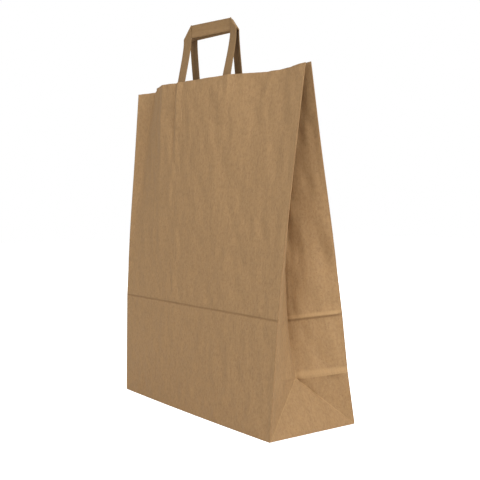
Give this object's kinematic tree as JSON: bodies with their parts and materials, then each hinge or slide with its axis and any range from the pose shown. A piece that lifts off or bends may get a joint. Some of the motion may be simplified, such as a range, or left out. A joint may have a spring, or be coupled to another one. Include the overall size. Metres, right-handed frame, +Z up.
{
  "type": "paper gift bag",
  "caption": "Tall brown kraft paper carrier with side gussets, a block bottom and flat folded-tape handles, standing half closed, to carry goods in.",
  "frame": {"origin": "middle of the rectangular base, on the surface that the bag stands on", "axes": "+Z up to the handles, +Y from the front panel to the rear panel through the bag's depth, +X to the right along its width"},
  "size_m": [0.32, 0.129, 0.4811],
  "materials": {
    "kraft_paper": "matte",
    "kraft_tape": "matte",
    "kraft_patch": "matte"
  },
  "bodies": {
    "root": {"bag_body": "kraft_paper", "handle_front": "kraft_tape", "handle_rear": "kraft_tape", "patch_front": "kraft_patch", "patch_rear": "kraft_patch"}
  },
  "joints": []
}
